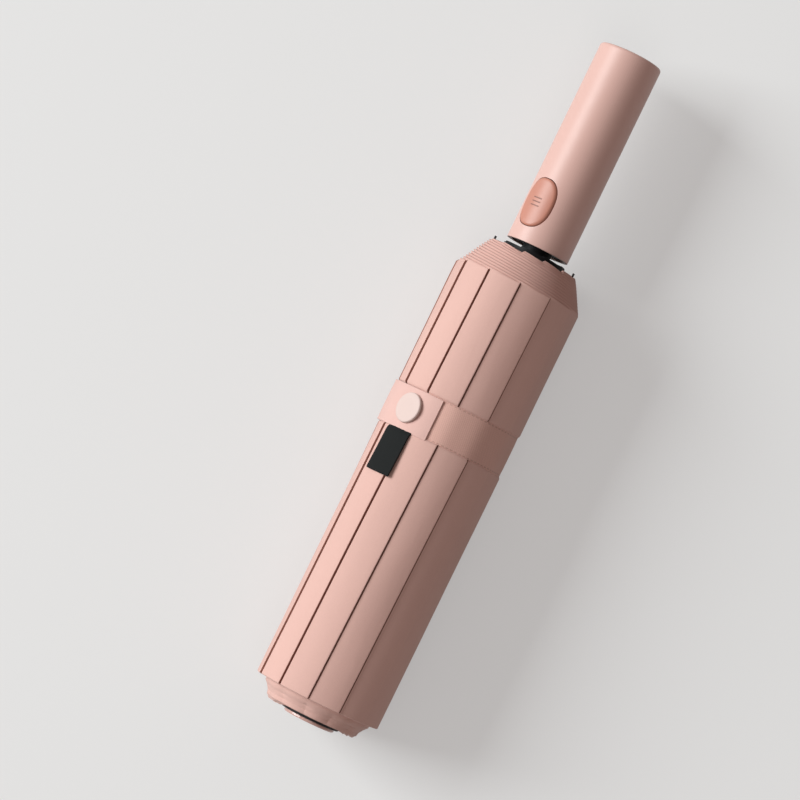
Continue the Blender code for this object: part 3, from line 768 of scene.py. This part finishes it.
def makeStrap():
    rows = []
    for column in range(strap["columns"]):
        angle = fullTurn * column / strap["columns"]
        spread = readTable(spreadTable, math.degrees(angle))
        section = strapSection(strap["inner"], strap["thickness"], strap["centre"],
                               strap["width"] + spread)
        rows.append([around(angle, radius + bandRadius(angle), distance)
                     for radius, distance in section])
    piece = fromRows("strapBand", rows, [strapWebbing], sharpAt=60, closeRows=True)
    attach(piece, "shaft_top")
    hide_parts("strap_band")
    gatherWithRibs(piece)


def tabLift(angle):
    # how far the tab stands off along its length
    share = (angle - tab["hingeAngle"]) / (tab["endAngle"] - tab["hingeAngle"])
    rise = tab["proud"] * max(0.0, 1 - share / tab["proudShare"]) ** 0.7
    return rise - tab["tuck"] * max(0.0, 1 - share / tab["tuckShare"]) ** 2


def makeTab():
    section = strapSection(tab["inner"], tab["thickness"], strap["centre"],
                           strap["width"] + tab["overhang"])
    rows = []
    for column in range(tab["columns"] + 1):
        share = column / tab["columns"]
        angle = blendValue(tab["hingeAngle"], tab["endAngle"], share)
        lean = tab["lean"] * share
        lift = tabLift(angle) + bulgeAt(angle, strap["centre"]) * 1.2
        rows.append([around(angle, radius + lift, distance - lean)
                     for radius, distance in section])
    piece = fromRows("strapTab", rows, [tabCloth], sharpAt=50, capEnds=True)
    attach(piece, "strap_tab")
    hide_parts("strap_tab")
    gatherWithRibs(piece)


def turnedPiece(name, profile, steps, finish, matrix, sharpAt=35):
    # a profile of (radius, height) turned about its own upright axis, then placed
    rows = []
    for radius, height in profile:
        rows.append([matrix @ Vector((radius * math.cos(fullTurn * step / steps),
                                      radius * math.sin(fullTurn * step / steps), height))
                     for step in range(steps)])
    return fromRows(name, rows, [finish], sharpAt=sharpAt, capEnds=True)


def standOn(angle, radius, distance):
    # a frame whose Z leaves the shaft at a clock angle
    return Matrix.Translation(around(angle, radius, distance)) @ Matrix.Rotation(angle, 4, "Y")


def makeSnap():
    radius = snap["radius"]
    height = snap["height"]
    rim = snap["rim"]
    profile = [(radius - rim, 0.0), (radius, rim * 0.6)]
    for step in range(7):
        turn = math.pi / 2 * step / 6
        profile.append((radius - rim * 1.5 * (1 - math.cos(turn)),
                        height - rim * (1 - math.sin(turn)) * 1.6))
    for share, crest in ((0.80, 0.00006), (0.5, 0.00014), (0.15, 0.00018)):
        profile.append((radius * share, height + crest))
    seat = standOn(snap["angle"], snap["base"], strap["centre"])
    piece = turnedPiece("snapCap", profile, snap["steps"], snapPlastic, seat)
    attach(piece, "strap_tab")
    gatherWithRibs(piece)


def thicken(line, thickness):
    # the closed outline of a band with this thickness along a line of (distance, radius)
    spots = [Vector(spot) for spot in line]
    sides = []
    for index, spot in enumerate(spots):
        along = spots[min(index + 1, len(spots) - 1)] - spots[max(index - 1, 0)]
        sides.append(Vector((-along.y, along.x)).normalized() * thickness / 2)
    return [spot + side for spot, side in zip(spots, sides)] + \
        [spot - side for spot, side in zip(reversed(spots), reversed(sides))]


# how far the ribbon's sides bend down to the cloth, by distance
tagBow = [(0.0, 0.00040), (0.1100, 0.00045), (0.1220, 0.00075), (0.1300, 0.00100)]


def makeTag():
    # a woven ribbon folded double, sewn under the tab, that stands a little off the cloth
    upper = [(0.1292, 0.02665), (0.1272, 0.02685), (0.1264, 0.02720), (0.1252, 0.02795),
             (0.1238, 0.02812), (0.1200, 0.02815), (0.1150, 0.02818), (0.1100, 0.02830),
             (tag["end"] + 0.0006, 0.02848)]
    thickness = tag["thickness"]
    turn = [(tag["end"] + 0.0002, 0.02842), (tag["end"], 0.02830),
            (tag["end"] + 0.0002, 0.02818)]
    lower = [(distance, radius - thickness * 1.15) for distance, radius in reversed(upper)]
    loop = thicken(upper + turn + lower, thickness)
    centre = tag["angle"]
    sideways = Vector((math.cos(centre), 0, -math.sin(centre)))
    rows = []
    for share in (-1.0, -0.94, -0.80, -0.4, 0.0, 0.4, 0.80, 0.94, 1.0):
        across = sideways * tag["width"] / 2 * share
        rows.append([around(centre, radius - readTable(tagBow, distance) * share * share, distance)
                     + across for distance, radius in loop])
    piece = fromRows("labelTag", rows, [tagRibbon], sharpAt=55, capEnds=True)
    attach(piece, "shaft_top")
    2 * (upper[0][0] - tag["end"])
    gatherWithRibs(piece)


makeStrap()
makeTab()
makeSnap()
makeTag()
print("strap made")


# Push button

button = {
    "distance": 0.2366,
    "angle": math.radians(-39),
    "length": 0.0215,
    "width": 0.0147,
    "top": 0.0146,
    "low": 0.0110,
    "power": 0.8,              # squarer than an ellipse, towards 0
    "edge": 0.0007,            # its rounded rim
    "steps": 96,
    "grooves": (-0.0017, 0.0, 0.0017),
}


def buttonFinish():
    # satin coral, with three short grip grooves across the middle, painted darker inside as shade
    finish = Finish("buttonPlastic", colours["button"], 0.42)
    angle, y = finish.wrap()
    across = finish.size(angle - button["angle"]) * button["top"]
    along = y - (crownY + button["distance"])
    grooves = 0.0
    for offset in button["grooves"]:
        near = finish.size(along - offset)
        line = finish.ramp(near * 1000.0, (0.0, 1.0), (0.14, 1.0), (0.26, 0.0))
        end = finish.ramp(across * 100.0, (0.0, 1.0), (0.21, 1.0), (0.235, 0.0))
        grooves = line * end + grooves
    spark = finish.clouds(3200.0, 2.0, 0.7)
    flow = finish.clouds(24.0, 3.0, 0.5)
    plain = finish.mix(flow, shade(colours["button"], 0.965), shade(colours["button"], 1.03))
    # the darker colour in the grooves is painted shade
    finish.set("Base Color", finish.mix(grooves, plain, shade(colours["button"], 0.42)))
    finish.set("Roughness", 0.40 + spark * 0.06)
    finish.bump(spark * 0.00002 - grooves * 0.00022, 0.6, 1.0)
    return finish.material


def makeButton():
    profile = [(share / 10, 0.0) for share in range(1, 9)]
    for step in range(7):
        turn = math.pi / 2 * step / 6
        profile.append((0.88 + 0.12 * math.sin(turn), 1 - math.cos(turn)))
    rows = []
    for share, fall in profile:
        rows.append(buttonRing(share, button["top"] - fall * button["edge"]))
    rows.append(buttonRing(1.0, button["low"]))
    piece = fromRows("buttonFace", rows, [buttonFinish()], sharpAt=50, capEnds=True)
    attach(piece, "button")
    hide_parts("push_button")


def buttonRing(share, radius):
    # follows the handle's curve, but for the flat ring at its foot
    ring = []
    for step in range(button["steps"]):
        turn = fullTurn * step / button["steps"]
        sideways, along = (math.copysign(abs(value) ** button["power"], value)
                           for value in (math.cos(turn), math.sin(turn)))
        across = sideways * button["width"] / 2 * share
        height = radius
        if radius > button["low"]:
            height = math.sqrt(max(radius * radius - across * across, 0.0))
        spot = Vector((across, along * button["length"] / 2 * share, height))
        ring.append(standOn(button["angle"], 0.0, button["distance"]) @ spot)
    return ring


makeButton()
print("button made")


# Materials of the CAD nodes that stay

def finishNode(node, finish):
    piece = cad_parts[node]
    piece.data.materials.clear()
    piece.data.materials.append(finish)


nodeFinishes = {
    "handle_shell": handlePlastic,
    "tip_collar": blackNylon,
    "crown_notch": blackNylon,
    "runner": runnerNylon,
    "top_cap": capPlastic,
    "outer_tube": tubeSteel,
    "middle_tube": tubeSteel,
    "inner_tube": tubeSteel,
}
for node, finish in nodeFinishes.items():
    finishNode(node, finish)
for number in range(1, canopy["pleats"] + 1):
    finishNode(f"top_rib_{number:02d}", topRibPaint)
    finishNode(f"middle_rib_{number:02d}", middleRibPaint)
    finishNode(f"outer_rib_{number:02d}", outerRibPaint)
    finishNode(f"strut_{number:02d}", strutSteel)
print("node finishes set")


# Floor, light and camera

stage = {
    "floorColour": (0.46, 0.457, 0.453),
    "floorGlow": 0.34,         # seen directly and in reflections only: it lights nothing
    "floorHalf": 9.0,
    "worldColour": (1.0, 0.87, 0.82),
    "worldStrength": 0.27,
    "lamps": (
        # place, aim, side of the square panel, power, colour
        ((-4.20, 0.08, 2.22), (0.0, 0.0, 0.02), 2.60, 288.0, (0.95, 1.0, 1.01)),
        ((0.20, -0.50, 1.50), (0.0, 0.0, 0.02), 0.90, 2.0, (1.0, 0.98, 0.96)),
    ),
}
view = {
    "place": (0.01929, -0.06502, 1.57242),
    "forward": (-0.02815, 0.03071, -0.99913),
    "up": (-0.43665, 0.89874, 0.03992),
    "lens": 166.1,
    "sensor": 36.0,
}


def makeFloor():
    finish = Finish("paleFloor", stage["floorColour"], 0.75)
    grain = finish.clouds(40.0, 2.0, 0.5)
    finish.set("Roughness", 0.72 + grain * 0.06)
    seen = finish.node("LightPath", {}, {}, "Is Camera Ray")
    for ray in ("Is Glossy Ray", "Is Transmission Ray"):
        seen += finish.node("LightPath", {}, {}, ray)
    glow = stage["floorGlow"]
    finish.set("Emission Color", finish.mix(seen, (0.0, 0.0, 0.0), (glow, glow, glow)))
    finish.set("Emission Strength", 1.0)
    half = stage["floorHalf"]
    shape = bmesh.new()
    signs = ((-1, -1), (1, -1), (1, 1), (-1, 1))
    shape.faces.new([shape.verts.new((x * half, y * half, 0.0)) for x, y in signs])
    floor = addObject("floor", smoothMesh(shape, "floor", 30), [finish.material])


def makeLamps():
    for index, (place, aim, side, power, colour) in enumerate(stage["lamps"]):
        lamp = bpy.data.lights.new(f"softbox{index + 1}", "AREA")
        lamp.shape = "SQUARE"
        lamp.size = side
        lamp.energy = power
        lamp.color = colour
        holder = bpy.data.objects.new(lamp.name, lamp)
        bpy.context.scene.collection.objects.link(holder)
        holder.location = place
        towards = Vector(aim) - Vector(place)
        holder.rotation_euler = towards.to_track_quat("-Z", "Y").to_euler()


def makeWorld():
    world = bpy.data.worlds.new("studio")
    bpy.context.scene.world = world
    world.use_nodes = True
    back = world.node_tree.nodes["Background"]
    back.inputs["Color"].default_value = (*stage["worldColour"], 1.0)
    back.inputs["Strength"].default_value = stage["worldStrength"]


def makeCamera():
    camera = bpy.data.cameras.new("camera")
    camera.lens = view["lens"]
    camera.sensor_width = view["sensor"]
    camera.sensor_fit = "HORIZONTAL"
    camera.clip_start = 0.05
    camera.clip_end = 20.0
    holder = bpy.data.objects.new("camera", camera)
    bpy.context.scene.collection.objects.link(holder)
    forward = Vector(view["forward"]).normalized()
    right = forward.cross(Vector(view["up"])).normalized()
    up = right.cross(forward)
    turn = Matrix((right, up, -forward)).transposed().to_4x4()
    holder.matrix_world = Matrix.Translation(view["place"]) @ turn
    bpy.context.scene.camera = holder


makeFloor()
makeLamps()
makeWorld()
makeCamera()
bpy.context.scene.view_settings.view_transform = "Standard"
print("stage set")
